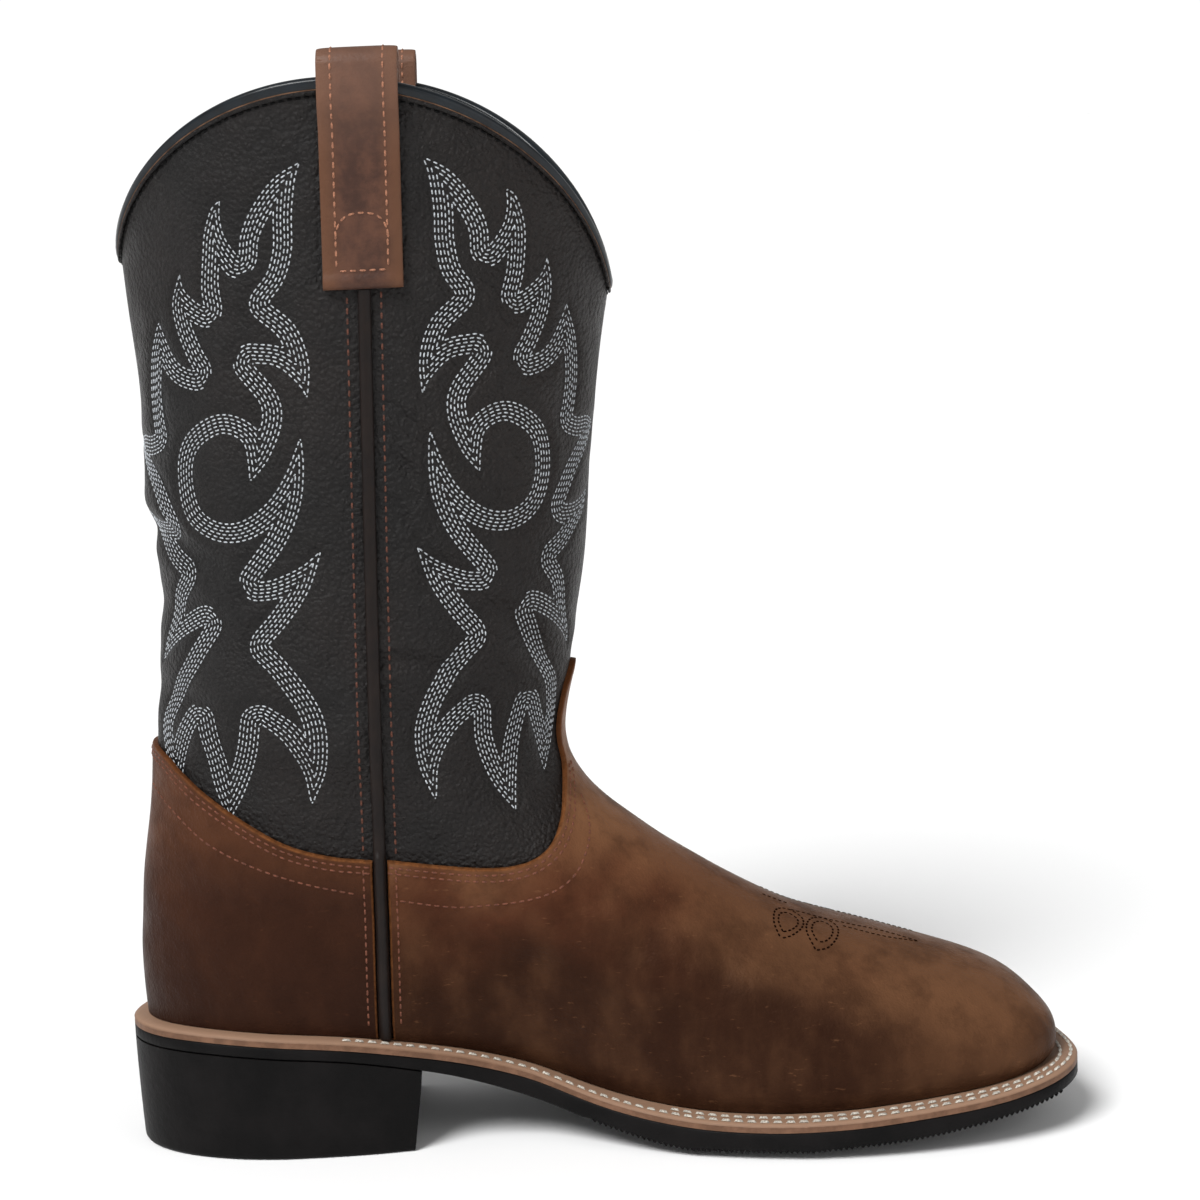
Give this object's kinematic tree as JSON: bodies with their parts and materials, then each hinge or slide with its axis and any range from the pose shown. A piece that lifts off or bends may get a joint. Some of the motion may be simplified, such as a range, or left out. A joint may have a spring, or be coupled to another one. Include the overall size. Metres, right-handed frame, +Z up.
{
  "type": "western work boot",
  "caption": "Tall pull-on western work boot for the left foot, with a scalloped collar, pull straps, broad square toe, welted rubber sole and block heel.",
  "frame": {"origin": "on the floor, under the middle of the boot's bounding box", "axes": "+X towards the toe, -Y towards the inner (medial) side, +Z up the shaft"},
  "size_m": [0.3054, 0.113, 0.348],
  "materials": {
    "shaft_leather": "fine pebble grain, satin",
    "vamp_leather": "oiled pull-up, mottled",
    "counter_leather": "oiled pull-up, mottled",
    "binding": "glossy rolled edge",
    "piping": "satin",
    "strap_leather": "burnished, lighter edges",
    "insole": "matt",
    "welt": "smooth cut edge",
    "outsole_rubber": "matt moulded",
    "heel_rubber": "matt moulded"
  },
  "bodies": {
    "root": {"upper": "shaft_leather", "vamp": "vamp_leather", "counter": "counter_leather", "collar_binding": "binding", "side_piping_medial": "piping", "side_piping_lateral": "piping", "pull_strap_medial": "strap_leather", "pull_strap_lateral": "strap_leather", "insole": "insole", "welt": "welt", "outsole": "outsole_rubber", "heel": "heel_rubber"}
  },
  "joints": []
}
